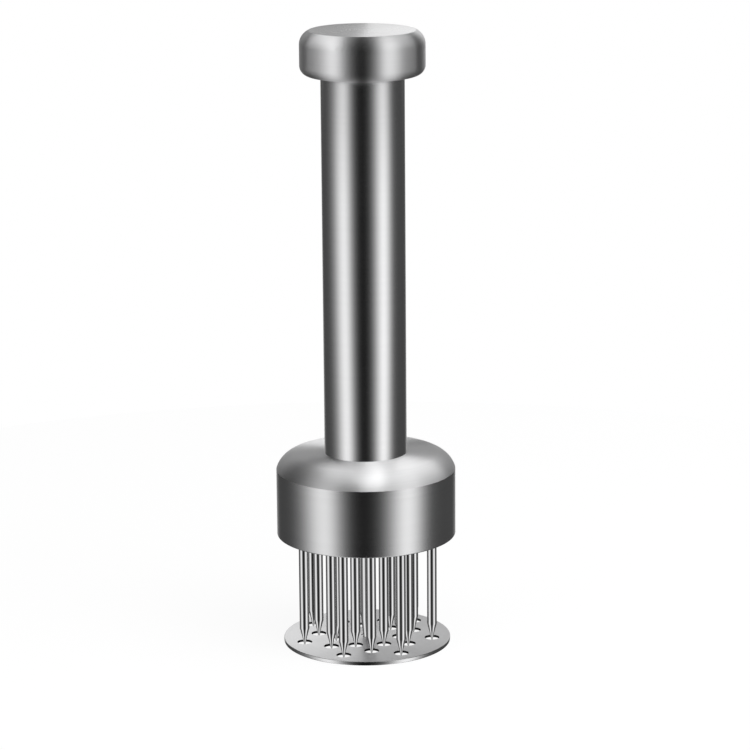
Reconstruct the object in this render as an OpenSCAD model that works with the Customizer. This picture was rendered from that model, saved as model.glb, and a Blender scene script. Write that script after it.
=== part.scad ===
// Hand-held blade meat tenderizer: a tube handle with a knob cap, a bell housing
// that carries three rings of pointed needles, and a sprung guard plate that the
// needles pass through. Millimetres, +Z up, origin under the guard plate's centre.

/* [Overall] */
// Height from the guard plate's underside to the top of the cap
total_h = 190; // [160:1:230]

/* [Cap] */
// How far the cap stands out past the tube, all round
cap_overhang = 6.25; // [4.5:0.05:10.5]
// Height of the cap
cap_h = 13.4; // [11.5:0.1:18]
// Radius of the cap's rounded upper corner
cap_top_r = 4.55; // [3:0.05:5.5]
// Radius of the cap's rounded lower corner
cap_low_r = 3; // [2:0.1:3.6]
// Angle of the crease between the upper corner and the flat top, in degrees
cap_crease = 22; // [5:1:40]
// Sheet thickness of the cap shell
cap_wall = 1; // [0.7:0.1:1.3]
// Thickness of the ring that closes the cap from below
cap_base_t = 1.6; // [1.2:0.1:2.2]

/* [Handle tube] */
// Outside diameter of the handle tube
tube_d = 25.2; // [22:0.1:29]
// Wall of the handle tube
tube_wall = 1; // [0.7:0.1:1.5]
// How far the tube reaches up into the cap
tube_in_cap = 4.4; // [3:0.1:5.4]

/* [Bell housing] */
// Outside diameter of the bell, which is the widest piece
bell_d = 55; // [46:0.5:66]
// Sheet thickness of the bell
bell_wall = 1.2; // [0.8:0.1:1.6]
// Height of the bell's straight skirt
skirt_h = 20.75; // [16:0.05:26]
// Radius of the bell's rounded shoulder
shoulder_r = 7; // [5:0.1:9]
// Angle of the crease between skirt and shoulder, in degrees
shoulder_crease = 17; // [2:1:25]
// Rise of the bell's top from the shoulder to the tube
dome_rise = 0.33; // [0:0.01:2]

/* [Needles] */
// Diameter of a needle
needle_d = 3; // [2.4:0.1:3.6]
// Needles in each of the three rings
ring_count = 7; // [5:1:8]
// Length of a needle's point
needle_point = 5.5; // [4:0.1:9]
// Height of the needle tips above the table while the guard is down
tip_gap = 0.15; // [0.1:0.05:0.8]
// Direction of the outer ring's first needle, in degrees
ring_phase = 43.5; // [0:0.5:60]
// Distance from the outer ring's needle centres to the bell's inner wall
ring_margin = 6; // [4.4:0.1:8]
// Diameter of a needle's head
head_d = 4.6; // [4.2:0.1:5.2]
// Height of a needle's head
head_h = 1; // [0.6:0.1:1.4]

/* [Needle block] */
// How deep the needle carrier lies inside the bell's mouth
carrier_recess = 5; // [3:0.1:7]
// Thickness of the needle carrier
carrier_t = 4; // [3:0.1:6]
// Thickness of the backing plate over the needle heads
backing_t = 2.5; // [2:0.1:4]
// Screws that hold the backing plate on the carrier
carrier_screw_count = 3; // [2:1:3]
// Thread diameter of those screws
carrier_screw_d = 2.5; // [2:0.1:3]

/* [Guard] */
// Height of the open needle cage between guard plate and bell
cage_h = 33.3; // [26:0.1:42]
// Gap that is left between guard plate and bell at full travel
stop_gap = 1.3; // [0.5:0.1:4]
// Gap between the guard plate's edge and the bell's inner wall, seen from below
plate_gap = 0.5; // [0.3:0.1:3]
// Height of the guard plate's turned-down rim
plate_rim_h = 1.2; // [1:0.1:1.8]
// Sheet thickness of the guard plate
plate_t = 0.75; // [0.5:0.05:0.9]
// Width of the guard plate's rim
plate_rim_w = 1; // [0.8:0.1:1.6]
// Diameter of the holes that the needles pass through
hole_d = 4.6; // [4:0.1:5]
// Diameter of the guard rod
rod_d = 3.6; // [3:0.1:4.2]
// Diameter of the collar on the guard rod
collar_d = 15; // [14.6:0.1:17]
// Height of the collar
collar_h = 4; // [3:0.1:6]

/* [Spring] */
// Wire diameter of the return spring
wire_d = 1.2; // [0.8:0.1:1.4]
// Mean diameter of the return spring's coils
coil_d = 12.4; // [10:0.1:13]
// Coils of the return spring
coil_count = 24; // [16:1:26]

/* [Hidden] */

$fn = 96;

// Clearances and the overrun of cuts
seat_fit = 0.02;
slip_fit = 0.05;
rod_fit = 0.06;
cut = 1;

// Steps in a quarter of a rounded corner
corner_steps = 12;

// Colours
brushed = [0.74, 0.74, 0.75];
bright = [0.84, 0.84, 0.86];
turned = [0.62, 0.63, 0.65];
spring_grey = [0.5, 0.5, 0.53];
nylon = [0.93, 0.92, 0.88];

// Handle tube
tube_r = tube_d / 2;
tube_in_r = tube_r - tube_wall;

// Cap
cap_r = tube_r + cap_overhang;
cap_z = total_h - cap_h;
cap_corner_r = cap_r - cap_top_r;
cap_corner_z = total_h - cap_top_r * cos(cap_crease);
cap_low_z = cap_z + cap_low_r;
cap_mouth_r = cap_r - cap_low_r;
tube_top_z = cap_z + tube_in_cap;

// What lies in the cap and the tube's top
core_h = total_h - cap_wall - seat_fit - tube_top_z;
core_r = cap_mouth_r - slip_fit;
stud_d = 8;
stud_up_share = 0.7;
stud_up = core_h * stud_up_share;
stud_down = 12;
top_bush_h = 18;
top_bush_z = tube_top_z - top_bush_h;
seat_washer_t = 1.5;
seat_washer_d = 17;
seat_washer_bore = 8.4;
seat_z = top_bush_z - seat_washer_t;

// Bell
bell_r = bell_d / 2;
bell_in_r = bell_r - bell_wall;
plate_top_z = plate_rim_h;
rim_z = plate_top_z + cage_h;
skirt_top_z = rim_z + skirt_h;
shoulder_x = bell_r - shoulder_r * cos(shoulder_crease);
shoulder_z = skirt_top_z - shoulder_r * sin(shoulder_crease);
shoulder_in_r = shoulder_r - bell_wall;
shoulder_in_start = acos((bell_in_r - shoulder_x) / shoulder_in_r);
dome_z = shoulder_z + shoulder_r;
neck_z = dome_z + dome_rise;
neck_hole_r = tube_r + seat_fit;
rim_round = bell_wall / 3;

// Needle block
carrier_z = rim_z + carrier_recess;
backing_z = carrier_z + carrier_t;
neck_flange_z = backing_z + backing_t;
neck_flange_t = 4;
neck_flange_w = 3.4;
neck_plug_h = 10;
tube_low_z = neck_flange_z + neck_flange_t;
neck_top_z = tube_low_z + neck_plug_h;
backing_edge = 1.3;
needle_r = needle_d / 2;
head_r = head_d / 2;
needle_z = tip_gap;
needle_top_z = backing_z - seat_fit;
tip_share = 0.12;
carrier_screw_head_d = carrier_screw_d * 1.88;
carrier_screw_head_h = carrier_screw_d * 0.6;
carrier_screw_margin = 4.8;
carrier_screw_r = bell_in_r - carrier_screw_margin;
carrier_screw_drop_share = 0.8;
carrier_screw_step = 2;

// Guide bush in the middle of the needle block
bush_d = 10;
bush_r = bush_d / 2;
bush_flange_r = 7;
bush_flange_t = 1.5;
bush_flange_z = carrier_z - bush_flange_t;
inner_ring_gap = 1.6;

// Rings of needles
outer_ring_r = bell_in_r - ring_margin;
inner_ring_r = bush_flange_r + inner_ring_gap + needle_r;
middle_ring_r = (outer_ring_r + inner_ring_r) / 2;
ring_step = 360 / ring_count;
middle_phase = ring_phase - ring_step / 2;

// Guard
travel = cage_h - stop_gap;
plate_r = bell_in_r - plate_gap;
plate_low_z = plate_top_z - plate_t;
plate_round = plate_rim_w * 0.35;
rod_r = rod_d / 2;
dimple_depth = plate_t * 0.4;
dimple_r = rod_r + slip_fit * 2;
foot_z = plate_top_z - dimple_depth + seat_fit;
foot_r = rod_r * 0.7;
plate_screw_d = 1.6;
plate_screw_head_d = rod_d;
plate_screw_floor_gap = 0.03;
plate_screw_up = 3.4;
washer_z = neck_top_z;
washer_t = 1.2;
washer_d = 17;
washer_bore_d = rod_d + slip_fit * 4;
collar_r = collar_d / 2;
collar_z = washer_z + washer_t + seat_fit;
collar_top_z = collar_z + collar_h;
pin_d = 1.2;
pin_z = collar_z + collar_h / 2;
pin_inset = 0.5;
rod_end_gap = 4.5;
rod_top_z = seat_z - travel - rod_end_gap;
rod_chamfer = rod_r / 4;

// Return spring: closed end coils, then an even pitch
spring_low_z = collar_top_z + slip_fit;
spring_top_z = seat_z - slip_fit;
end_coils = 1.5;
close_gap = 0.5;
close_pitch = wire_d + close_gap;
open_rise = spring_top_z - spring_low_z - wire_d - 2 * end_coils * close_pitch;
open_pitch = open_rise / (coil_count - 2 * end_coils);
coil_rings = 8;
wire_sides = 6;

// Points of an arc round (x, z), from angle a0 to a1
function arc(x, z, r, a0, a1, steps = corner_steps) =
    [for (i = [0:steps]) let (a = a0 + (a1 - a0) * i / steps) [x + r * cos(a), z + r * sin(a)]];

// Height of the spring's wire after t coils
function coil_z(t) =
    spring_low_z + wire_d / 2 + close_pitch * min(t, end_coils)
    + open_pitch * max(0, min(t, coil_count - end_coils) - end_coils)
    + close_pitch * max(0, t - (coil_count - end_coils));

// Centre of the wire after t coils
function coil_point(t) =
    [coil_d / 2 * cos(360 * t), coil_d / 2 * sin(360 * t), coil_z(t)];

// Rise of the wire for each unit that it runs along the coil, after t coils
function coil_slope(t) =
    (t < end_coils || t > coil_count - end_coils ? close_pitch : open_pitch) / (PI * coil_d);

// One ring of points round the wire, square to its run
function wire_ring(t) =
    let (
        out = [cos(360 * t), sin(360 * t), 0],
        run = [-sin(360 * t), cos(360 * t), coil_slope(t)],
        side = cross(run, out) / norm(run)
    )
    [for (j = [0:wire_sides - 1]) let (a = 360 * j / wire_sides)
        coil_point(t) + wire_d / 2 * (out * cos(a) + side * sin(a))];

spring_rings = coil_count * coil_rings;
spring_points = [for (i = [0:spring_rings]) coil_point(i / coil_rings)];
spring_gap = min([
    for (i = [0:spring_rings]) for (j = [i + coil_rings / 2:spring_rings])
        norm(spring_points[i] - spring_points[j])
]) - wire_d;
echo(str("return spring: least gap to itself ", spring_gap, " mm"));

module steel_tube(r_out, r_in, low, high) {
    translate([0, 0, low])
        difference() {
            cylinder(r = r_out, h = high - low);
            translate([0, 0, -cut])
                cylinder(r = r_in, h = high - low + 2 * cut);
        }
}

module ring_of(count, radius, phase) {
    for (i = [0:count - 1])
        rotate(phase + i * 360 / count)
            translate([radius, 0, 0])
                children();
}

module each_needle_place() {
    ring_of(ring_count, outer_ring_r, ring_phase) children();
    ring_of(ring_count, middle_ring_r, middle_phase) children();
    ring_of(ring_count, inner_ring_r, ring_phase) children();
}

// Places in the gaps between the outer needles
module each_carrier_screw_place() {
    for (i = [0:carrier_screw_count - 1])
        rotate(middle_phase + i * carrier_screw_step * ring_step)
            translate([carrier_screw_r, 0, 0])
                children();
}

// A needle: pointed below, headed above
module needle() {
    rotate_extrude()
        polygon([
            [0, needle_z],
            [needle_r * tip_share, needle_z],
            [needle_r, needle_z + needle_point],
            [needle_r, needle_top_z - head_h],
            [head_r, needle_top_z - head_h],
            [head_r, needle_top_z],
            [0, needle_top_z]
        ]);
}

module cap_shell() {
    color(brushed)
        rotate_extrude()
            polygon(concat(
                [[0, total_h]],
                arc(cap_corner_r, cap_corner_z, cap_top_r, 90 - cap_crease, 0),
                arc(cap_mouth_r, cap_low_z, cap_low_r, 0, -90),
                arc(cap_mouth_r, cap_low_z, cap_low_r - cap_wall, -90, 0),
                arc(cap_corner_r, cap_corner_z, cap_top_r - cap_wall,
                    0, asin((total_h - cap_wall - cap_corner_z) / (cap_top_r - cap_wall))),
                [[0, total_h - cap_wall]]
            ));
}

module cap_base() {
    color(brushed)
        steel_tube(cap_mouth_r - seat_fit, tube_r + seat_fit, cap_z, cap_z + cap_base_t);
}

module cap_core() {
    color(turned)
        difference() {
            translate([0, 0, tube_top_z])
                cylinder(r = core_r, h = core_h);
            translate([0, 0, tube_top_z - cut])
                cylinder(d = stud_d + 2 * seat_fit, h = stud_up + seat_fit + cut);
        }
}

module cap_stud() {
    color(turned)
        translate([0, 0, tube_top_z - stud_down])
            cylinder(d = stud_d, h = stud_down + stud_up);
}

module tube_top_bush() {
    color(turned)
        steel_tube(tube_in_r - seat_fit, stud_d / 2 + seat_fit, top_bush_z, tube_top_z);
}

module spring_seat_washer() {
    color(turned)
        steel_tube(seat_washer_d / 2, seat_washer_bore / 2, seat_z, top_bush_z);
}

module handle_tube() {
    color(brushed)
        steel_tube(tube_r, tube_in_r, tube_low_z, tube_top_z);
}

module bell_shell() {
    color(brushed)
        rotate_extrude()
            polygon(concat(
                arc(bell_r - rim_round, rim_z + rim_round, rim_round, -90, 0, corner_steps / 3),
                arc(shoulder_x, shoulder_z, shoulder_r, shoulder_crease, 90, 2 * corner_steps),
                [[neck_hole_r, neck_z], [neck_hole_r, neck_z - bell_wall]],
                arc(shoulder_x, shoulder_z, shoulder_in_r, 90, shoulder_in_start, 2 * corner_steps),
                [[bell_in_r, rim_z]]
            ));
}

// Plug in the tube's lower end, whose flange bears on the needle block
module neck_bush() {
    color(turned)
        difference() {
            union() {
                translate([0, 0, neck_flange_z])
                    cylinder(r = tube_r + neck_flange_w, h = neck_flange_t);
                translate([0, 0, neck_flange_z])
                    cylinder(r = tube_in_r - seat_fit, h = neck_top_z - neck_flange_z);
            }
            translate([0, 0, neck_flange_z - cut])
                cylinder(r = bush_r + seat_fit, h = neck_top_z - neck_flange_z + 2 * cut);
        }
}

// Disc over the needle heads
module backing_plate() {
    color(turned)
        difference() {
            translate([0, 0, backing_z])
                cylinder(r = bell_in_r - backing_edge, h = backing_t);
            translate([0, 0, backing_z - cut])
                cylinder(r = bush_r + seat_fit, h = backing_t + 2 * cut);
            each_carrier_screw_place() {
                translate([0, 0, backing_z - cut])
                    cylinder(d = carrier_screw_d + 2 * seat_fit, h = backing_t + 2 * cut);
                translate([0, 0, neck_flange_z - carrier_screw_head_h - seat_fit])
                    cylinder(
                        d1 = carrier_screw_d + 2 * seat_fit,
                        d2 = carrier_screw_head_d + 2 * seat_fit,
                        h = carrier_screw_head_h + seat_fit
                    );
            }
        }
}

// Disc that the needles hang in
module needle_carrier() {
    color(brushed)
        difference() {
            translate([0, 0, carrier_z])
                cylinder(r = bell_in_r - slip_fit, h = carrier_t);
            translate([0, 0, carrier_z - cut])
                cylinder(r = bush_r + seat_fit, h = carrier_t + 2 * cut);
            each_needle_place() {
                translate([0, 0, carrier_z - cut])
                    cylinder(r = needle_r + seat_fit, h = carrier_t + 2 * cut);
                translate([0, 0, needle_top_z - head_h - seat_fit])
                    cylinder(r = head_r + slip_fit, h = head_h + cut);
            }
            each_carrier_screw_place()
                translate([0, 0, backing_z - carrier_t * carrier_screw_drop_share - seat_fit])
                    cylinder(d = carrier_screw_d + 2 * seat_fit, h = carrier_t);
        }
}

module outer_needles() {
    color(bright)
        ring_of(ring_count, outer_ring_r, ring_phase) needle();
}

module middle_needles() {
    color(bright)
        ring_of(ring_count, middle_ring_r, middle_phase) needle();
}

module inner_needles() {
    color(bright)
        ring_of(ring_count, inner_ring_r, ring_phase) needle();
}

// Countersunk screws through the backing plate into the carrier
module carrier_screws() {
    color(turned)
        each_carrier_screw_place()
            rotate_extrude()
                polygon([
                    [0, backing_z - carrier_t * carrier_screw_drop_share],
                    [carrier_screw_d / 2, backing_z - carrier_t * carrier_screw_drop_share],
                    [carrier_screw_d / 2, neck_flange_z - carrier_screw_head_h],
                    [carrier_screw_head_d / 2, neck_flange_z],
                    [0, neck_flange_z]
                ]);
}

// Flanged bush that clamps the needle block to the neck and guides the rod
module guide_bush() {
    color(turned)
        difference() {
            union() {
                translate([0, 0, bush_flange_z])
                    cylinder(r = bush_flange_r, h = bush_flange_t, $fn = 6);
                translate([0, 0, bush_flange_z])
                    cylinder(r = bush_r, h = neck_top_z - bush_flange_z);
            }
            translate([0, 0, bush_flange_z - cut])
                cylinder(r = rod_r + rod_fit, h = neck_top_z - bush_flange_z + 2 * cut);
        }
}

// Washer that the collar lands on
module buffer_washer() {
    color(nylon)
        steel_tube(washer_d / 2, washer_bore_d / 2, washer_z, washer_z + washer_t);
}

// Compression spring round the rod, one unbroken wire
module return_spring() {
    ring_total = spring_rings + 1;
    points = [for (i = [0:spring_rings]) each wire_ring(i / coil_rings)];
    walls = [
        for (i = [0:ring_total - 2]) for (j = [0:wire_sides - 1])
            let (k = (j + 1) % wire_sides, a = i * wire_sides, b = a + wire_sides)
            each [[a + j, b + j, b + k], [a + j, b + k, a + k]]
    ];
    first_end = [for (j = [0:wire_sides - 1]) j];
    last_end = [for (j = [wire_sides - 1:-1:0]) spring_rings * wire_sides + j];
    color(spring_grey)
        polyhedron(points, concat(walls, [first_end, last_end]));
}

// Thin pressed disc with a turned-down rim and a hole for each needle
module guard_plate() {
    color(brushed)
        difference() {
            rotate_extrude()
                polygon(concat(
                    [[0, plate_top_z]],
                    arc(plate_r - plate_round, plate_top_z - plate_round, plate_round,
                        90, 0, corner_steps / 3),
                    arc(plate_r - plate_round, plate_round, plate_round, 0, -90, corner_steps / 3),
                    [[plate_r - plate_rim_w, 0], [plate_r - plate_rim_w, plate_low_z],
                        [0, plate_low_z]]
                ));
            each_needle_place()
                translate([0, 0, -cut])
                    cylinder(d = hole_d, h = plate_rim_h + 2 * cut);
            translate([0, 0, -cut])
                cylinder(d = plate_screw_d + 2 * seat_fit, h = plate_rim_h + 2 * cut);
            translate([0, 0, plate_top_z - dimple_depth])
                cylinder(r = dimple_r, h = dimple_depth + cut);
        }
}

// Rod that carries the guard plate and runs up into the tube
module guard_rod() {
    color(bright)
        difference() {
            rotate_extrude()
                polygon([
                    [0, foot_z],
                    [foot_r, foot_z],
                    [rod_r, foot_z + needle_point],
                    [rod_r, rod_top_z - rod_chamfer],
                    [rod_r - rod_chamfer, rod_top_z],
                    [0, rod_top_z]
                ]);
            translate([0, 0, foot_z - cut])
                cylinder(d = plate_screw_d + 2 * seat_fit, h = plate_screw_up + seat_fit + cut);
            translate([-rod_d, 0, pin_z])
                rotate([0, 90, 0])
                    cylinder(d = pin_d + 2 * seat_fit, h = 2 * rod_d);
        }
}

// Low-headed screw from below that holds the plate on the rod
module plate_screw() {
    color(turned) {
        translate([0, 0, plate_screw_floor_gap])
            cylinder(d = plate_screw_head_d, h = plate_low_z - plate_screw_floor_gap);
        translate([0, 0, plate_screw_floor_gap])
            cylinder(d = plate_screw_d, h = foot_z + plate_screw_up - plate_screw_floor_gap);
    }
}

// Collar that the spring presses on and that stops the guard's drop
module rod_collar() {
    color(turned)
        difference() {
            steel_tube(collar_r, rod_r + seat_fit, collar_z, collar_top_z);
            translate([-collar_r - cut, 0, pin_z])
                rotate([0, 90, 0])
                    cylinder(d = pin_d + 2 * seat_fit, h = collar_d + 2 * cut);
        }
}

// Cross pin through collar and rod
module collar_pin() {
    color(bright)
        translate([pin_inset - collar_r, 0, pin_z])
            rotate([0, 90, 0])
                cylinder(d = pin_d, h = collar_d - 2 * pin_inset);
}

cap_shell();
cap_base();
cap_core();
cap_stud();
tube_top_bush();
spring_seat_washer();
handle_tube();
bell_shell();
neck_bush();
backing_plate();
needle_carrier();
outer_needles();
middle_needles();
inner_needles();
carrier_screws();
guide_bush();
buffer_washer();
return_spring();
guard_plate();
guard_rod();
plate_screw();
rod_collar();
collar_pin();
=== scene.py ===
"""Hand-held blade meat tenderizer: brushed steel pieces modelled round the packed solids."""

import math

import bpy
from mathutils import Matrix, Vector


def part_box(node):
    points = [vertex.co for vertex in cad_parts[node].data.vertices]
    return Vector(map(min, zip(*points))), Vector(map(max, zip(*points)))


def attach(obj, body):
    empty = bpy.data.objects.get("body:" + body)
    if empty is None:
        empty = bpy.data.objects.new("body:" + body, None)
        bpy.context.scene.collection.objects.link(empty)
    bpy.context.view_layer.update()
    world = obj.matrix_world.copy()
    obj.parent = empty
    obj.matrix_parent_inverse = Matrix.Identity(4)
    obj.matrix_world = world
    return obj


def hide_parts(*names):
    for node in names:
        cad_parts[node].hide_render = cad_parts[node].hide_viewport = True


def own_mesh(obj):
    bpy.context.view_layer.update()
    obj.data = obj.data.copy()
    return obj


bl_info = {
    "name": "Blade Meat Tenderizer",
    "version": (1, 0, 0),
    "blender": (4, 5, 0),
    "location": "3D View > Sidebar > Tenderizer",
    "description": "Models the cap, handle, bell, needles and sprung guard in brushed steel",
    "category": "Object",
}

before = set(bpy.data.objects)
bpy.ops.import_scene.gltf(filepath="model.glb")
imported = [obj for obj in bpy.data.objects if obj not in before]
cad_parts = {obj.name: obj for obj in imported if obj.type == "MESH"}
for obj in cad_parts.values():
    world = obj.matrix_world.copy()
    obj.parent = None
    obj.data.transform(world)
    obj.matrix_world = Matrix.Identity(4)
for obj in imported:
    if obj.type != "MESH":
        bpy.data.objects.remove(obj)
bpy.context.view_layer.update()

MM = 0.001
# How finely the round pieces are turned, in steps to a full turn.
TURN_STEPS = 192
HOLE_STEPS = 48
NEEDLE_STEPS = 32
COIL_STEPS = 40
WIRE_STEPS = 12
# The play between pieces that fit in each other, and the distance at which points are merged.
FIT = 0.02 * MM
MERGE = 0.001 * MM
# The fitted camera: the picture's width and the focal length in pixels, and the film's width.
IMAGE_SIZE = 750
FOCAL_PIXELS = 3093.2
FILM_WIDTH = 36
TENT_RADIUS = 2.6

CAP_LOW, CAP_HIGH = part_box("cap_shell")
TUBE_LOW, TUBE_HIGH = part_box("handle_tube")
BELL_LOW, BELL_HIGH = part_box("bell_shell")
PLATE_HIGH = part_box("guard_plate")[1]
NEEDLE_LOW, NEEDLE_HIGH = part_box("outer_needles")
ROD_LOW, ROD_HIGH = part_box("guard_rod")
SPRING_LOW, SPRING_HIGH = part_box("return_spring")


def length(name, description, default):
    """A length that the sidebar shows in the scene's own unit."""
    return bpy.props.FloatProperty(
        name=name, description=description, default=default, unit="LENGTH", precision=5
    )


def angle(name, description, degrees):
    """An angle, which the sidebar shows in degrees."""
    return bpy.props.FloatProperty(
        name=name, description=description, default=math.radians(degrees), subtype="ANGLE"
    )


def share(name, description, default):
    """A number from 0 to 1."""
    return bpy.props.FloatProperty(
        name=name, description=description, default=default, min=0, max=1, subtype="FACTOR"
    )


def brightness(name, description, default):
    """The brightness of a soft box."""
    return bpy.props.FloatProperty(name=name, description=description, default=default, min=0)


def colour(name, description, default):
    """A linear colour."""
    return bpy.props.FloatVectorProperty(
        name=name, description=description, default=default, size=3, min=0, max=1, subtype="COLOR"
    )


class CapSizes(bpy.types.PropertyGroup):
    """Sizes of the knob cap."""

    radius: length("Radius", "Outside radius of the cap", CAP_HIGH.x)
    top_corner: length("Top corner", "Radius of the rounded upper corner", 4.55 * MM)
    low_corner: length("Lower corner", "Radius of the rounded lower corner", 3 * MM)
    crease: angle("Crease", "Angle between the upper corner and the flat top", 22)
    wall: length("Wall", "Sheet thickness of the shell", 1 * MM)
    edge: length("Edge", "Rounding of the cap's edges", 0.12 * MM)


class HandleSizes(bpy.types.PropertyGroup):
    """Sizes of the tube handle."""

    radius: length("Radius", "Outside radius of the tube", TUBE_HIGH.x)
    wall: length("Wall", "Wall of the tube", 1 * MM)
    edge: length("Edge", "Rounding of the tube's edges", 0.15 * MM)


class BellSizes(bpy.types.PropertyGroup):
    """Sizes of the bell housing."""

    radius: length("Radius", "Outside radius of the bell", min(BELL_HIGH.x, -BELL_LOW.x))
    wall: length("Wall", "Sheet thickness of the bell", 1.2 * MM)
    skirt: length("Skirt", "Height of the straight skirt", 20.75 * MM)
    shoulder: length("Shoulder", "Radius of the rounded shoulder", 7 * MM)
    crease: angle("Crease", "Angle between the skirt and the shoulder", 17)
    edge: length("Edge", "Rounding of the bell's edges", 0.08 * MM)


class NeedleSizes(bpy.types.PropertyGroup):
    """Sizes of the needles and of the rings that they stand in."""

    radius: length("Radius", "Radius of a needle", 1.5 * MM)
    point: length("Point", "Length of a needle's point", 5.5 * MM)
    head_radius: length("Head radius", "Radius of a needle's head", 2.3 * MM)
    head_height: length("Head height", "Height of a needle's head", 1 * MM)
    edge: length("Edge", "Rounding of the head's edges", 0.06 * MM)
    outer_ring: length("Outer ring", "Radius of the outer ring of needles", 20.3 * MM)
    middle_ring: length("Middle ring", "Radius of the middle ring of needles", 15.2 * MM)
    inner_ring: length("Inner ring", "Radius of the inner ring of needles", 10.1 * MM)
    count: bpy.props.IntProperty(
        name="Count", description="Needles in each ring", default=7, min=3
    )
    phase: angle("Phase", "Direction of the outer ring's first needle", 43.5)


class GuardSizes(bpy.types.PropertyGroup):
    """Sizes of the sprung guard."""

    radius: length("Radius", "Radius of the guard plate", PLATE_HIGH.x)
    sheet: length("Sheet", "Sheet thickness of the guard plate", 0.75 * MM)
    rim: length("Rim", "Width of the turned-down rim", 1 * MM)
    hole: length("Hole", "Radius of a needle's hole", 2.3 * MM)
    rod: length("Rod", "Radius of the guard rod", 1.8 * MM)
    edge: length("Edge", "Rounding of the rod's edges", 0.06 * MM)
    wire: length("Wire", "Radius of the spring's wire", 0.6 * MM)
    coil: length("Coil", "Mean radius of the spring's coils", 6.2 * MM)


class SteelLook(bpy.types.PropertyGroup):
    """Colours and brushing of the steel."""

    brushed: colour("Brushed steel", "Colour of the brushed outer shells", (0.72, 0.72, 0.725))
    polished: colour("Polished steel", "Colour of the needles and the rod", (0.78, 0.78, 0.785))
    turned: colour("Turned steel", "Colour of the turned pieces inside", (0.56, 0.56, 0.565))
    spring: colour("Spring steel", "Colour of the spring's wire", (0.4, 0.4, 0.42))
    nylon: colour("Nylon", "Colour of the buffer washer", (0.8, 0.78, 0.7))
    # The hole walls' colour is nearly black: painted shade inside the punched holes.
    hole_wall_shade: colour("Punched edge", "Colour of the punched hole edges", (0.016, 0.016, 0.017))
    streaks: share("Streaks", "How strongly the brushing shows", 0.5)


class StudioLight(bpy.types.PropertyGroup):
    """Where the soft boxes of the light tent stand, and how bright they are."""

    left_angle: angle("Left box", "Direction of the left soft box from the front", -55.4)
    left_level: brightness("Left level", "Brightness of the left soft box", 1.12)
    right_angle: angle("Right box", "Direction of the right soft box from the front", 55.4)
    right_level: brightness("Right level", "Brightness of the right soft box", 1.22)


class Reading:
    """A number that a shader works out at every point. Its operators add Math nodes."""

    def __init__(self, shader, socket):
        self.shader = shader
        self.socket = socket

    def worked(self, operation, *values):
        node = self.shader.add("ShaderNodeMath", {"operation": operation}, dict(enumerate(values)))
        return Reading(self.shader, node.outputs[0])

    def __add__(self, other):
        return self.worked("ADD", self, other)

    __radd__ = __add__

    def __sub__(self, other):
        return self.worked("SUBTRACT", self, other)

    def __rsub__(self, other):
        return self.worked("SUBTRACT", other, self)

    def __mul__(self, other):
        return self.worked("MULTIPLY", self, other)

    def __truediv__(self, other):
        return self.worked("DIVIDE", self, other)

    def __neg__(self):
        return self.worked("MULTIPLY", self, -1)

    def root(self):
        return self.worked("SQRT", self)

    def exp(self):
        return self.worked("EXPONENT", self)

    def sine(self):
        return self.worked("SINE", self)

    def bearing(self, ahead):
        """The angle in radians of a direction, from this part across and that part ahead."""
        return self.worked("ARCTAN2", self, ahead)

    def ramp(self, low, high):
        """0 below low, 1 above high, and smooth between them."""
        node = self.shader.add(
            "ShaderNodeMapRange",
            {"interpolation_type": "SMOOTHSTEP"},
            {"Value": self, "From Min": low, "From Max": high},
        )
        return Reading(self.shader, node.outputs[0])


class Shader:
    """The node tree of a finish. Every node of it is made by its method add."""

    def __init__(self, name):
        self.material = bpy.data.materials.new(name)
        self.material.use_nodes = True
        self.tree = self.material.node_tree
        self.tree.nodes.clear()

    def add(self, kind, settings=None, sockets=None):
        node = self.tree.nodes.new(kind)
        for name, value in (settings or {}).items():
            setattr(node, name, value)
        for name, value in (sockets or {}).items():
            socket = node.inputs[name]
            if isinstance(value, Reading):
                value = value.socket
            if isinstance(value, bpy.types.NodeSocket):
                self.tree.links.new(value, socket)
            else:
                socket.default_value = value
        return node

    def place(self):
        """The x, y and z of the point on the piece, in metres."""
        where = self.add("ShaderNodeTexCoord").outputs["Object"]
        parts = self.add("ShaderNodeSeparateXYZ", None, {0: where})
        return [Reading(self, out) for out in parts.outputs]

    def noise(self, x, y, z, detail=2.0, roughness=0.5):
        """Cloudy noise from 0 to 1. Its x, y and z are metres times its clouds per metre."""
        where = self.add("ShaderNodeCombineXYZ", None, {0: x, 1: y, 2: z})
        node = self.add(
            "ShaderNodeTexNoise",
            {"noise_dimensions": "3D"},
            {"Vector": where.outputs[0], "Scale": 1.0, "Detail": detail, "Roughness": roughness},
        )
        return Reading(self, node.outputs[0])

    def blend(self, amount, first, second):
        """A colour between two colours."""
        node = self.add(
            "ShaderNodeMix",
            {"data_type": "RGBA"},
            {0: amount, 6: (*first, 1), 7: (*second, 1)},
        )
        return node.outputs[2]

    def mix(self, amount, first, second):
        """A surface between the surfaces that two nodes make."""
        sockets = {0: amount, 1: first.outputs[0], 2: second.outputs[0]}
        return self.add("ShaderNodeMixShader", None, sockets)

    def finish(self, tint, roughness, height, depth, others=None):
        """Ends the tree in a surface, whose relief is depth metres high."""
        relief = self.add(
            "ShaderNodeBump", None, {"Height": height, "Distance": depth, "Strength": 1.0}
        )
        sockets = {"Base Color": tint, "Roughness": roughness, "Normal": relief.outputs[0]}
        surface = self.add("ShaderNodeBsdfPrincipled", None, sockets | (others or {}))
        self.add("ShaderNodeOutputMaterial", None, {0: surface.outputs[0]})
        return self.material

    def metal(self, tint, roughness, height, depth, anisotropy=0.0, rotation=0.0):
        """Ends the tree in a metal surface. The rotation of its brushing is in full turns."""
        brushing = {"Metallic": 1.0, "Anisotropic": anisotropy, "Anisotropic Rotation": rotation}
        return self.finish(tint, roughness, height, depth, brushing)


def tinted(shade, factor):
    """A colour made lighter or darker."""
    return tuple(min(1, part * factor) for part in shade)


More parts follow.
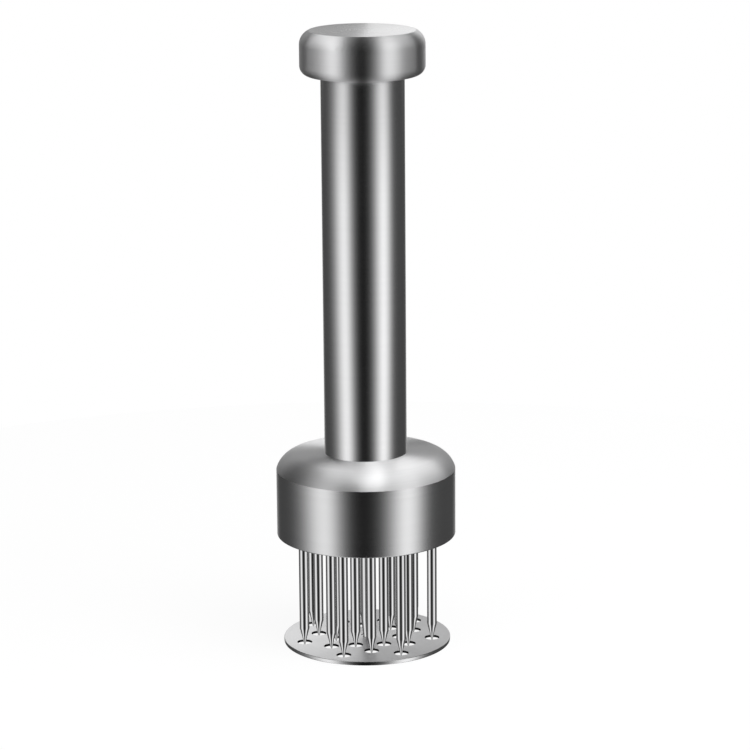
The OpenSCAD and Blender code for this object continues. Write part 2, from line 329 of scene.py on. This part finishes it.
def circular_steel(name, shade, roughness, anisotropy, streaks, depth=0.0016 * MM):
    """Steel brushed in circles round the tool's axis, as on a lathe."""
    shader = Shader(name)
    x, y, z = shader.place()
    radius = (x * x + y * y).root()
    along = z - radius
    broad = shader.noise(x * 9, y * 9, along * 700, 3.0, 0.6)
    fine = shader.noise(x * 20, y * 20, along * 3200)
    haze = shader.noise(x * 70, y * 70, z * 45)
    lines = broad * 0.5 + fine * 0.5
    tone = ((lines - 0.5) * (1.2 * streaks) + 0.5).ramp(0.0, 1.0)
    tint = shader.blend(tone, tinted(shade, 0.93), tinted(shade, 1.07))
    rough = roughness + (fine - 0.5) * (0.08 * streaks) + (haze - 0.5) * 0.03
    return shader.metal(tint, rough, lines, depth, anisotropy, rotation=0.25)


def punched_steel_with_shade(name, shade):
    """The torn face that a punch leaves round a hole. Its near-black colour is painted shade
    inside the hole.
    """
    shader = Shader(name)
    x, y, z = shader.place()
    torn = shader.noise(x * 1500, y * 1500, z * 500, 3.0, 0.6)
    tint = shader.blend(torn, tinted(shade, 0.5), tinted(shade, 1.6))
    return shader.metal(tint, 0.5 + (torn - 0.5) * 0.2, torn, 0.01 * MM)


def drawn_steel(name, shade, roughness, streaks):
    """Bright steel with the faint lengthwise marks of a drawn rod."""
    shader = Shader(name)
    x, y, z = shader.place()
    marks = shader.noise(x * 3500, y * 3500, z * 60)
    haze = shader.noise(x * 200, y * 200, z * 90)
    tint = shader.blend(marks, tinted(shade, 0.95), tinted(shade, 1.05))
    rough = roughness + (marks - 0.5) * (0.04 * streaks) + (haze - 0.5) * 0.03
    return shader.metal(tint, rough, marks, 0.0004 * MM)


def lathe_steel(name, shade, roughness, pitch):
    """Plain turned steel with the fine grooves that the tool left."""
    shader = Shader(name)
    x, y, z = shader.place()
    radius = (x * x + y * y).root()
    groove = ((z - radius) * (2 * math.pi / pitch)).sine()
    cloud = shader.noise(x * 260, y * 260, z * 260, 3.0, 0.6)
    tone = cloud * 0.7 + groove * 0.12 + 0.15
    tint = shader.blend(tone, tinted(shade, 0.82), tinted(shade, 1.12))
    rough = roughness + (cloud - 0.5) * 0.14
    return shader.metal(tint, rough, groove * 0.5 + cloud, 0.006 * MM)


def wire_steel(name, shade):
    """Dark spring wire with a drawn, slightly mottled skin."""
    shader = Shader(name)
    x, y, z = shader.place()
    mottle = shader.noise(x * 900, y * 900, z * 900, 3.0, 0.6)
    tint = shader.blend(mottle, tinted(shade, 0.75), tinted(shade, 1.2))
    return shader.metal(tint, 0.3 + (mottle - 0.5) * 0.2, mottle, 0.004 * MM)


def moulded_nylon(name, shade):
    """Off-white nylon with a fine moulded grain."""
    shader = Shader(name)
    x, y, z = shader.place()
    grain = shader.noise(x * 2600, y * 2600, z * 2600, 2.0, 0.6)
    cloud = shader.noise(x * 300, y * 300, z * 300)
    tint = shader.blend(cloud, tinted(shade, 0.93), tinted(shade, 1.04))
    return shader.finish(tint, 0.5 + (grain - 0.5) * 0.2, grain, 0.01 * MM)


def deselect():
    """Leaves nothing selected, so that an operator acts on its own piece only."""
    if bpy.context.object and bpy.context.object.mode != "OBJECT":
        bpy.ops.object.mode_set(mode="OBJECT")
    bpy.ops.object.select_all(action="DESELECT")


def pick(*pieces):
    """Selects these pieces alone, the first one active."""
    deselect()
    for piece in pieces:
        piece.select_set(True)
    bpy.context.view_layer.objects.active = pieces[0]
    return pieces[0]


def apply_modifier(piece, kind, **settings):
    """Adds a modifier, sets it and applies it."""
    pick(piece)
    bpy.ops.object.modifier_add(type=kind)
    modifier = piece.modifiers[-1]
    for name, value in settings.items():
        setattr(modifier, name, value)
    bpy.ops.object.modifier_apply(modifier=modifier.name)


def arc(x, z, radius, start, end, steps):
    """Points of an arc in the outline's plane, its angles in radians."""
    return [
        (
            x + radius * math.cos(start + (end - start) * i / steps),
            z + radius * math.sin(start + (end - start) * i / steps),
        )
        for i in range(steps + 1)
    ]


def turn(name, outline, steps=TURN_STEPS):
    """Spins an outline of (radius, height) points round the tool's axis, as on a lathe."""
    deselect()
    bpy.ops.mesh.primitive_plane_add(size=MM)
    piece = bpy.context.object
    piece.name = piece.data.name = name
    bpy.ops.object.mode_set(mode="EDIT")
    bpy.ops.mesh.select_all(action="SELECT")
    bpy.ops.mesh.merge(type="CENTER")
    bpy.ops.transform.translate(value=(outline[0][0], 0, outline[0][1]))
    closed = outline[0][0] > 0
    path = outline + outline[:1] if closed else outline
    for (r0, z0), (r1, z1) in zip(path, path[1:]):
        bpy.ops.mesh.extrude_region_move(
            TRANSFORM_OT_translate={"value": (r1 - r0, 0, z1 - z0)}
        )
    bpy.ops.mesh.select_all(action="SELECT")
    bpy.ops.mesh.remove_doubles(threshold=MERGE)
    bpy.ops.mesh.spin(steps=steps, angle=2 * math.pi, center=(0, 0, 0), axis=(0, 0, 1))
    bpy.ops.mesh.select_all(action="SELECT")
    bpy.ops.mesh.remove_doubles(threshold=MERGE)
    bpy.ops.mesh.normals_make_consistent(inside=False)
    bpy.ops.object.mode_set(mode="OBJECT")
    return piece


def soften(piece, width, limit=30, segments=2):
    """Rounds the edges that are sharper than the limit, in degrees."""
    apply_modifier(
        piece,
        "BEVEL",
        width=width,
        segments=segments,
        limit_method="ANGLE",
        angle_limit=math.radians(limit),
        harden_normals=False,
    )


def smooth(piece, limit=28):
    """Smooth shading, sharp where faces meet at more than the limit, in degrees."""
    pick(piece)
    bpy.ops.object.shade_smooth_by_angle(angle=math.radians(limit))


def discard(piece):
    """Deletes a piece that has done its work."""
    pick(piece)
    bpy.ops.object.delete()


def dress(piece, body, slot, *materials):
    """Gives a finished piece its body and its finish. Its slot is not used."""
    piece.data.materials.clear()
    for material in materials:
        piece.data.materials.append(material)
    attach(piece, body)


def cut(piece, cutter):
    """Takes the cutter's shape out of the piece."""
    apply_modifier(piece, "BOOLEAN", operation="DIFFERENCE", solver="EXACT", object=cutter)
    discard(cutter)


def copies(piece, name, places):
    """Copies of one piece moved to the places, each with its own mesh, joined in one piece."""
    made = []
    for x, y in places:
        pick(piece)
        bpy.ops.object.duplicate(linked=False)
        bpy.ops.transform.translate(value=(x, y, 0))
        made.append(bpy.context.object)
    group = pick(*made)
    bpy.ops.object.join()
    bpy.ops.object.transform_apply(location=True, rotation=True, scale=True)
    group.name = group.data.name = name
    return group


def ring(radius, count, phase):
    """Places on a circle round the tool's axis."""
    angles = [phase + 2 * math.pi * i / count for i in range(count)]
    return [(radius * math.cos(a), radius * math.sin(a)) for a in angles]


def needle_rings(sizes):
    """The places of the three rings of needles, from the outer one in."""
    half = math.pi / sizes.count
    return {
        "outer_needles": ring(sizes.outer_ring, sizes.count, sizes.phase),
        "middle_needles": ring(sizes.middle_ring, sizes.count, sizes.phase - half),
        "inner_needles": ring(sizes.inner_ring, sizes.count, sizes.phase),
    }


class TENDERIZER_OT_cap(bpy.types.Operator):
    """Models the knob cap: its drawn shell and the ring that closes it from below"""

    bl_idname = "tenderizer.cap"
    bl_label = "Knob Cap"

    def execute(self, context):
        sizes, look = context.scene.tenderizer_cap, context.scene.tenderizer_steel
        low, high = CAP_LOW.z, CAP_HIGH.z
        corner_x = sizes.radius - sizes.top_corner
        corner_z = high - sizes.top_corner * math.cos(sizes.crease)
        mouth = sizes.radius - sizes.low_corner
        low_z = low + sizes.low_corner
        inner = sizes.top_corner - sizes.wall
        stop = math.asin((high - sizes.wall - corner_z) / inner)
        outline = [(0, high)]
        outline += arc(corner_x, corner_z, sizes.top_corner, math.pi / 2 - sizes.crease, 0, 20)
        outline += arc(mouth, low_z, sizes.low_corner, 0, -math.pi / 2, 16)
        outline += arc(mouth, low_z, sizes.low_corner - sizes.wall, -math.pi / 2, 0, 10)
        outline += arc(corner_x, corner_z, inner, 0, stop, 10)
        outline += [(0, high - sizes.wall)]
        shell = turn("cap_shell_formed", outline)
        soften(shell, sizes.edge, 18)
        smooth(shell, 20)
        # The cap's side and base ring are the brushed steel painted 6% lighter: painted light. The
        # flat top keeps the plain colour.
        shade = tinted(look.brushed, 1.06)
        side = circular_steel("cap_side_steel", shade, 0.48, 1.0, look.streaks)
        streaks = look.streaks * 0.5
        top = circular_steel("cap_top_steel", look.brushed, 0.27, 0.2, streaks, 0.0003 * MM)
        dress(shell, "housing", "brushed_steel", side, top)
        flat_from = high - 0.05 * MM
        for face in shell.data.polygons:
            face.material_index = int(face.normal.z > 0.99 and face.center.z > flat_from)
        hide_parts("cap_shell")

        low, high = (corner.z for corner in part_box("cap_base"))
        inside = mouth - FIT
        hole = context.scene.tenderizer_handle.radius + FIT
        closing = turn(
            "cap_base_formed", [(hole, low), (inside, low), (inside, high), (hole, high)]
        )
        soften(closing, sizes.edge)
        smooth(closing)
        dress(closing, "housing", "brushed_steel", side)
        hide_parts("cap_base")
        return {"FINISHED"}


class TENDERIZER_OT_handle(bpy.types.Operator):
    """Models the long handle tube"""

    bl_idname = "tenderizer.handle"
    bl_label = "Handle Tube"

    def execute(self, context):
        sizes, look = context.scene.tenderizer_handle, context.scene.tenderizer_steel
        low, high = TUBE_LOW.z, TUBE_HIGH.z
        radius, bore = sizes.radius, sizes.radius - sizes.wall
        tube = turn(
            "handle_tube_formed", [(radius, low), (radius, high), (bore, high), (bore, low)]
        )
        soften(tube, sizes.edge)
        smooth(tube)
        # The tube is the brushed steel painted 9% lighter: painted light.
        shade = tinted(look.brushed, 1.09)
        finish = circular_steel("tube_steel", shade, 0.24, 0.4, look.streaks)
        dress(tube, "housing", "brushed_steel", finish)
        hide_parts("handle_tube")
        return {"FINISHED"}


class TENDERIZER_OT_bell(bpy.types.Operator):
    """Models the bell housing with its skirt, rounded shoulder and neck hole"""

    bl_idname = "tenderizer.bell"
    bl_label = "Bell Housing"

    def execute(self, context):
        sizes, look = context.scene.tenderizer_bell, context.scene.tenderizer_steel
        rim, top = BELL_LOW.z, BELL_HIGH.z
        lip = sizes.wall / 3
        skirt_top = rim + sizes.skirt
        shoulder_x = sizes.radius - sizes.shoulder * math.cos(sizes.crease)
        shoulder_z = skirt_top - sizes.shoulder * math.sin(sizes.crease)
        bore = sizes.radius - sizes.wall
        inner = sizes.shoulder - sizes.wall
        start = math.acos((bore - shoulder_x) / inner)
        neck = context.scene.tenderizer_handle.radius + FIT
        outline = arc(sizes.radius - lip, rim + lip, lip, -math.pi / 2, 0, 6)
        outline += arc(shoulder_x, shoulder_z, sizes.shoulder, sizes.crease, math.pi / 2, 30)
        outline += [(neck, top), (neck, top - sizes.wall)]
        outline += arc(shoulder_x, shoulder_z, inner, math.pi / 2, start, 20)
        outline += [(bore, rim)]
        bell = turn("bell_shell_formed", outline)
        soften(bell, sizes.edge, 40)
        smooth(bell, 16)
        # The skirt is the brushed steel painted 6% darker than the dome of the same bell: painted
        # shade.
        shade = tinted(look.brushed, 0.94)
        skirt = circular_steel("bell_skirt_steel", shade, 0.24, 0.4, look.streaks)
        dome = circular_steel("bell_dome_steel", look.brushed, 0.5, 0.95, look.streaks)
        dress(bell, "housing", "brushed_steel", skirt, dome)
        for face in bell.data.polygons:
            face.material_index = int(face.center.z > skirt_top and face.normal.z > 0)
        bell.visible_glossy = False
        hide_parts("bell_shell")
        return {"FINISHED"}


class TENDERIZER_OT_needles(bpy.types.Operator):
    """Models one pointed, headed needle and copies it round the three rings"""

    bl_idname = "tenderizer.needles"
    bl_label = "Needles"

    def execute(self, context):
        sizes, look = context.scene.tenderizer_needle, context.scene.tenderizer_steel
        low, high = NEEDLE_LOW.z, NEEDLE_HIGH.z
        neck = high - sizes.head_height
        # A blunt tip, a straight cone, and a soft change from the cone to the shaft.
        tip = sizes.radius * 0.12
        outline = [(0, low), (tip * 0.7, low + tip * 0.3), (tip * 1.3, low + tip * 2)]
        for width, height in ((0.5, 0.5), (0.95, 0.95), (0.99, 1), (1, 1.05)):
            outline.append((sizes.radius * width, low + sizes.point * height))
        outline += [(sizes.radius, neck), (sizes.head_radius, neck)]
        outline += [(sizes.head_radius, high), (0, high)]
        needle = turn("needle", outline, NEEDLE_STEPS)
        soften(needle, sizes.edge, 60, 1)
        smooth(needle, 35)
        finish = drawn_steel("needle_steel", look.polished, 0.07, look.streaks)
        for node, places in needle_rings(sizes).items():
            group = copies(needle, node + "_formed", places)
            dress(group, "housing", "polished_steel", finish)
            group.visible_glossy = False
            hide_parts(node)
        discard(needle)
        return {"FINISHED"}


class TENDERIZER_OT_guard(bpy.types.Operator):
    """Models the sprung guard: the perforated plate and the rod that it hangs on"""

    bl_idname = "tenderizer.guard"
    bl_label = "Guard"

    def execute(self, context):
        sizes, look = context.scene.tenderizer_guard, context.scene.tenderizer_steel
        needles = context.scene.tenderizer_needle
        plate_and_rod_bore = 0.82 * MM
        self.plate(sizes, needle_rings(needles), look, plate_and_rod_bore)
        self.rod(sizes, ROD_LOW.z + needles.point, look, plate_and_rod_bore)
        return {"FINISHED"}

    def plate(self, sizes, rings, look, bore):
        """The pressed disc: a dimple for the rod, a turned-down rim and punched holes"""
        top, under = PLATE_HIGH.z, PLATE_HIGH.z - sizes.sheet
        rim = sizes.radius - sizes.rim
        # The sheet bends round this radius at the rim's upper and lower edges.
        bend = sizes.rim * 0.2
        dimple, dimple_floor = sizes.rod + 0.1 * MM, top - sizes.sheet * 0.4
        outline = [(bore, dimple_floor), (dimple, dimple_floor), (dimple, top)]
        outline += arc(sizes.radius - bend, top - bend, bend, math.pi / 2, 0, 6)
        outline += arc(sizes.radius - bend, bend, bend, 0, -math.pi / 2, 6)
        outline += [(rim, 0), (rim, under), (bore, under)]
        plate = turn("guard_plate_formed", outline)

        # The punch is wider at both faces of the sheet, so each hole opens there.
        flare = 0.02 * MM
        mouth = sizes.hole + 2 * flare
        below, above = -1 * MM, top + 1 * MM
        outline = [(0, below), (mouth, below), (mouth, under - flare)]
        outline += [(sizes.hole, under + flare), (sizes.hole, top - flare)]
        outline += [(mouth, top + flare), (mouth, above), (0, above)]
        punch = turn("punch", outline, HOLE_STEPS)
        places = [place for group in rings.values() for place in group]
        punches = copies(punch, "punches", places)
        discard(punch)
        cut(plate, punches)
        smooth(plate, 25)

        finish = circular_steel("plate_steel", look.brushed, 0.42, 0.3, look.streaks)
        # The hole walls get the near-black finish: painted shade in the holes.
        dark = punched_steel_with_shade("punched_edge_painted_shade", look.hole_wall_shade)
        turned = circular_steel("rim_steel", look.brushed, 0.2, 0.3, look.streaks)
        dress(plate, "guard", "brushed_steel", finish, dark, turned)
        for face in plate.data.polygons:
            middle = face.center
            near = min(math.dist(middle.xy, place) for place in places)
            wall = abs(face.normal.z) < 0.3 and near < sizes.hole + flare
            outside = middle.xy.length > sizes.radius - 0.8 * bend
            face.material_index = 2 if outside else int(wall)
        plate.visible_glossy = False
        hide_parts("guard_plate")

    def rod(self, sizes, seat, look, bore):
        """The guard rod: a short taper at its foot, bored from below for the plate's screw"""
        foot, end = ROD_LOW.z, ROD_HIGH.z
        bore_end = foot + 3.4 * MM
        chamfer = sizes.rod / 4
        outline = [(0, bore_end), (bore, bore_end), (bore, foot), (sizes.rod * 0.7, foot)]
        outline += [(sizes.rod * 0.985, seat - 0.3 * MM), (sizes.rod, seat + 0.2 * MM)]
        outline += [(sizes.rod, end - chamfer), (sizes.rod - chamfer, end), (0, end)]
        rod = turn("guard_rod_formed", outline, HOLE_STEPS)
        soften(rod, sizes.edge, 40, 1)
        smooth(rod, 30)
        finish = drawn_steel("rod_steel", look.polished, 0.1, look.streaks)
        dress(rod, "guard", "polished_steel", finish)
        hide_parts("guard_rod")


class TENDERIZER_OT_spring(bpy.types.Operator):
    """Winds the return spring with closed end coils, which squeezes as the guard rises"""

    bl_idname = "tenderizer.spring"
    bl_label = "Return Spring"

    def execute(self, context):
        sizes, look = context.scene.tenderizer_guard, context.scene.tenderizer_steel
        low, high = SPRING_LOW.z, SPRING_HIGH.z
        end_turns, open_turns, close_pitch = 1.5, 21, 1.7 * MM
        end_rise = end_turns * close_pitch
        open_rise = high - low - 2 * sizes.wire - 2 * end_rise
        closed, opened = (end_turns, end_rise), (open_turns, open_rise)
        parts = []
        height = low + sizes.wire
        start = 0.0
        for turns, rise in (closed, opened, closed):
            steps = int(COIL_STEPS * turns)
            deselect()
            bpy.ops.mesh.primitive_circle_add(
                vertices=WIRE_STEPS,
                radius=sizes.wire,
                location=(sizes.coil, 0, height),
                rotation=(math.pi / 2, 0, 0),
            )
            part = bpy.context.object
            bpy.ops.object.transform_apply(location=True, rotation=True, scale=True)
            apply_modifier(
                part,
                "SCREW",
                angle=2 * math.pi * turns,
                screw_offset=rise,
                steps=steps,
                render_steps=steps,
                use_merge_vertices=False,
            )
            part.data.transform(Matrix.Rotation(start, 4, "Z"))
            start += 2 * math.pi * turns
            height += rise
            parts.append(part)
        spring = pick(*parts)
        bpy.ops.object.join()
        spring.name = spring.data.name = "return_spring_wound"
        bpy.ops.object.mode_set(mode="EDIT")
        bpy.ops.mesh.select_all(action="SELECT")
        bpy.ops.mesh.remove_doubles(threshold=2 * MERGE)
        bpy.ops.mesh.select_all(action="DESELECT")
        bpy.ops.mesh.select_non_manifold()
        bpy.ops.mesh.edge_face_add()
        bpy.ops.mesh.select_all(action="SELECT")
        bpy.ops.mesh.normals_make_consistent(inside=False)
        bpy.ops.object.mode_set(mode="OBJECT")
        smooth(spring, 40)
        dress(spring, "housing", "spring_steel", wire_steel("spring_wire", look.spring))
        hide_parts("return_spring")
        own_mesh(spring)
        return {"FINISHED"}


class TENDERIZER_OT_inner(bpy.types.Operator):
    """Gives the solids inside the tool and under the guard their own finishes"""

    bl_idname = "tenderizer.inner"
    bl_label = "Inner Pieces"

    def execute(self, context):
        look = context.scene.tenderizer_steel
        turned = lathe_steel("turned_steel", look.turned, 0.34, 0.35 * MM)
        ground = lathe_steel("ground_steel", tinted(look.turned, 1.15), 0.26, 0.22 * MM)
        brushed = circular_steel("carrier_steel", look.brushed, 0.34, 0.3, look.streaks)
        bright = drawn_steel("pin_steel", look.polished, 0.2, look.streaks)
        nylon = moulded_nylon("moulded_nylon", look.nylon)
        finishes = {
            "cap_core": turned,
            "cap_stud": turned,
            "tube_top_bush": turned,
            "spring_seat_washer": ground,
            "neck_bush": turned,
            "backing_plate": turned,
            "needle_carrier": brushed,
            "carrier_screws": ground,
            "guide_bush": ground,
            "buffer_washer": nylon,
            "plate_screw": ground,
            "rod_collar": turned,
            "collar_pin": bright,
        }
        for name, finish in finishes.items():
            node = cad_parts[name]
            node.data.materials.clear()
            node.data.materials.append(finish)
        return {"FINISHED"}


class TENDERIZER_OT_studio(bpy.types.Operator):
    """Sets up the light tent, the pale floor and the camera"""

    bl_idname = "tenderizer.studio"
    bl_label = "Studio"

    def tent(self, light):
        """A light tent round the tool: two tall soft boxes, dim cloth at the sides and a lit
        back. Its heights are shares of its radius, above its middle"""
        deselect()
        bpy.ops.mesh.primitive_uv_sphere_add(
            segments=48, ring_count=24, radius=TENT_RADIUS, location=(0, 0, 0.1)
        )
        tent = bpy.context.object
        tent.name = "light_tent"
        shader = Shader("tent_cloth")
        x, y, z = shader.place()
        side = x.bearing(-y)
        around = side * side
        height = z / TENT_RADIUS

        def box(direction, left_width, right_width):
            """A soft box that fades out to its left and its right, the widths in degrees"""
            gap = side - direction
            width = gap.ramp(-0.01, 0.01) * (right_width - left_width) + left_width
            gap = gap / (width * math.radians(1))
            return (-(gap * gap)).exp()

        def cloth(start, full):
            """Cloth on both sides, which starts and reaches its full glow at those degrees"""
            return around.ramp(math.radians(start) ** 2, math.radians(full) ** 2)

        boxes = box(light.left_angle, 29.6, 20.8) * light.left_level
        boxes = boxes + box(light.right_angle, 23.4, 22.6) * light.right_level
        boxes = boxes * (1 - (height.ramp(0.03, 0.12) - height.ramp(0.5, 0.7)) * 0.3)
        sides = cloth(75, 105) * 0.065
        behind = height.ramp(-0.02, 0.09) * 0.3 + height.ramp(0.17, 0.29) * 0.13
        behind = cloth(126, 155) * behind * (1 - height.ramp(0.4, 0.62) * 0.85)
        low_back = cloth(150, 178) * (1 - height.ramp(-0.12, 0.0)) * 0.55
        total = boxes + sides + behind + low_back + 0.004
        glow = shader.add("ShaderNodeEmission", None, {"Strength": total})
        shader.add("ShaderNodeOutputMaterial", None, {0: glow.outputs[0]})
        tent.data.materials.append(shader.material)
        tent.visible_camera = False

    def floor(self):
        """A small pale floor that keeps the tool's soft shadow, and can't be seen from below"""
        deselect()
        bpy.ops.mesh.primitive_circle_add(
            vertices=96, radius=0.3, fill_type="NGON", location=(0, 0, -0.05 * MM)
        )
        floor = bpy.context.object
        floor.name = "studio_floor"
        shader = Shader("pale_floor")
        rays = shader.add("ShaderNodeLightPath").outputs
        kinds = ("Is Camera Ray", "Is Glossy Ray", "Is Transmission Ray")
        camera, glossy, through = (Reading(shader, rays[kind]) for kind in kinds)
        seen = (camera + glossy + through).ramp(0.0, 1.0) * 0.85
        paint = shader.add("ShaderNodeBsdfDiffuse", None, {"Color": (0.9, 0.9, 0.9, 1)})
        glow = shader.add("ShaderNodeEmission", None, {"Strength": 1.06})
        below = shader.add("ShaderNodeNewGeometry").outputs["Backfacing"]
        clear = shader.add("ShaderNodeBsdfTransparent")
        sheet = shader.mix(below, shader.mix(seen, paint, glow), clear)
        shader.add("ShaderNodeOutputMaterial", None, {0: sheet.outputs[0]})
        floor.data.materials.append(shader.material)
        floor.visible_glossy = False

    def lamp(self, name, aim, stand, size, glow, lit):
        """A soft panel that lights the named pieces alone. It stands at a direction and a
        height in degrees and a distance, as seen from its aim. Its direction is 0 in front
        and 90 on the right"""
        turned, raised, distance = math.radians(stand[0]), math.radians(stand[1]), stand[2]
        reach = Vector((math.sin(turned), -math.cos(turned), 0)) * math.cos(raised)
        reach = (reach + Vector((0, 0, math.sin(raised)))) * distance
        width, height = size
        deselect()
        bpy.ops.object.light_add(type="AREA", location=Vector(aim) + reach)
        lamp = bpy.context.object
        lamp.name = lamp.data.name = name
        lamp.rotation_euler = (-reach).to_track_quat("-Z", "Y").to_euler()
        lamp.data.shape = "RECTANGLE"
        lamp.data.size, lamp.data.size_y = width, height
        lamp.data.energy = math.pi * glow * width * height
        lamp.visible_camera = False
        receivers = bpy.data.collections.new(name + "_receivers")
        for piece in lit:
            receivers.objects.link(bpy.data.objects[piece])
        lamp.light_linking.receiver_collection = receivers

    def camera(self, context):
        """The photograph's viewpoint: it looks down, a little to the right, and leans a little"""
        pitch, yaw, roll = math.radians(13.771), math.radians(-0.19), math.radians(-0.441)
        right = Vector((math.cos(yaw), math.sin(yaw), 0))
        forward = Vector((-math.sin(yaw), math.cos(yaw), 0))
        ahead = forward * math.cos(pitch) - Vector((0, 0, math.sin(pitch)))
        up = forward * math.sin(pitch) + Vector((0, 0, math.cos(pitch)))
        right, up = (
            right * math.cos(roll) + up * math.sin(roll),
            up * math.cos(roll) - right * math.sin(roll),
        )
        bpy.ops.object.camera_add(location=(0, -0.9163, 0.30905))
        camera = bpy.context.object
        camera.name = "photo_camera"
        camera.rotation_euler = Matrix((right, up, -ahead)).transposed().to_euler()
        camera.data.sensor_width = FILM_WIDTH
        camera.data.lens = FOCAL_PIXELS * FILM_WIDTH / IMAGE_SIZE
        camera.data.clip_start = 0.01
        context.scene.camera = camera

    def execute(self, context):
        scene = context.scene
        scene.view_settings.view_transform = "Standard"
        world = bpy.data.worlds.new("studio_world")
        world.use_nodes = True
        background = world.node_tree.nodes["Background"].inputs
        background["Color"].default_value = (1, 1, 1, 1)
        background["Strength"].default_value = 1.0
        scene.world = world
        self.tent(scene.tenderizer_light)
        self.floor()
        # Each lamp's aim, stand, size, brightness, and the pieces that it lights.
        neck, knob, guard = (0, 0, 0.055), (0, 0, 0.184), (0, 0, 0)
        bell, cap = ("bell_shell_formed",), ("cap_shell_formed",)
        plate, table = ("guard_plate_formed",), ("studio_floor",)
        self.lamp("overhead_strip", (0.02, 0, 0.055), (10, 87.4, 1), (0.5, 2.6), 3.35, bell)
        self.lamp("right_panel", neck, (94.3, 42.3, 1), (1.236, 1.109), 1.12, bell)
        self.lamp("bell_back_panel", neck, (155, 42, 1), (0.4, 0.5), 2.0, bell)
        self.lamp("cap_left_panel", knob, (-93.9, 41.4, 1), (1.518, 0.62), 1.79, cap)
        self.lamp("cap_right_panel", knob, (81.7, 40.9, 1), (1.541, 0.674), 1.37, cap)
        self.lamp("cap_top_panel", (0.01, 0, 0.19), (165.8, 16, 0.142), (0.09, 0.09), 0.64, cap)
        self.lamp("table_panel", guard, (45, 60, 1.1), (1.4, 1.4), 1.6, table)
        self.lamp("guard_panel", guard, (180, 22, 1), (1.8, 0.5), 0.34, plate)
        self.lamp("guard_left_panel", (-0.03, 0, 0), (180, 19, 0.15), (0.055, 0.16), 0.5, plate)
        deselect()
        self.camera(context)
        return {"FINISHED"}


STEPS = (
    "cap",
    "handle",
    "bell",
    "needles",
    "guard",
    "spring",
    "inner",
    "studio",
)


class TENDERIZER_PT_sidebar(bpy.types.Panel):
    """Lists the sizes, the looks and the steps"""

    bl_label = "Meat Tenderizer"
    bl_idname = "TENDERIZER_PT_sidebar"
    bl_space_type = "VIEW_3D"
    bl_region_type = "UI"
    bl_category = "Tenderizer"

    def draw(self, context):
        for key, group in GROUPS.items():
            box = self.layout.box()
            box.label(text=group.__doc__.rstrip("."))
            settings = getattr(context.scene, "tenderizer_" + key)
            for name in group.__annotations__:
                box.prop(settings, name)
        for step in STEPS:
            self.layout.operator("tenderizer." + step)


GROUPS = {
    "cap": CapSizes,
    "handle": HandleSizes,
    "bell": BellSizes,
    "needle": NeedleSizes,
    "guard": GuardSizes,
    "steel": SteelLook,
    "light": StudioLight,
}
CLASSES = (
    *GROUPS.values(),
    TENDERIZER_OT_cap,
    TENDERIZER_OT_handle,
    TENDERIZER_OT_bell,
    TENDERIZER_OT_needles,
    TENDERIZER_OT_guard,
    TENDERIZER_OT_spring,
    TENDERIZER_OT_inner,
    TENDERIZER_OT_studio,
    TENDERIZER_PT_sidebar,
)


def register():
    for cls in CLASSES:
        bpy.utils.register_class(cls)
    for key, group in GROUPS.items():
        setattr(bpy.types.Scene, "tenderizer_" + key, bpy.props.PointerProperty(type=group))


def unregister():
    for key in GROUPS:
        delattr(bpy.types.Scene, "tenderizer_" + key)
    for cls in reversed(CLASSES):
        bpy.utils.unregister_class(cls)


def main():
    register()
    for step in STEPS:
        getattr(bpy.ops.tenderizer, step)()


if __name__ == "__main__":
    main()
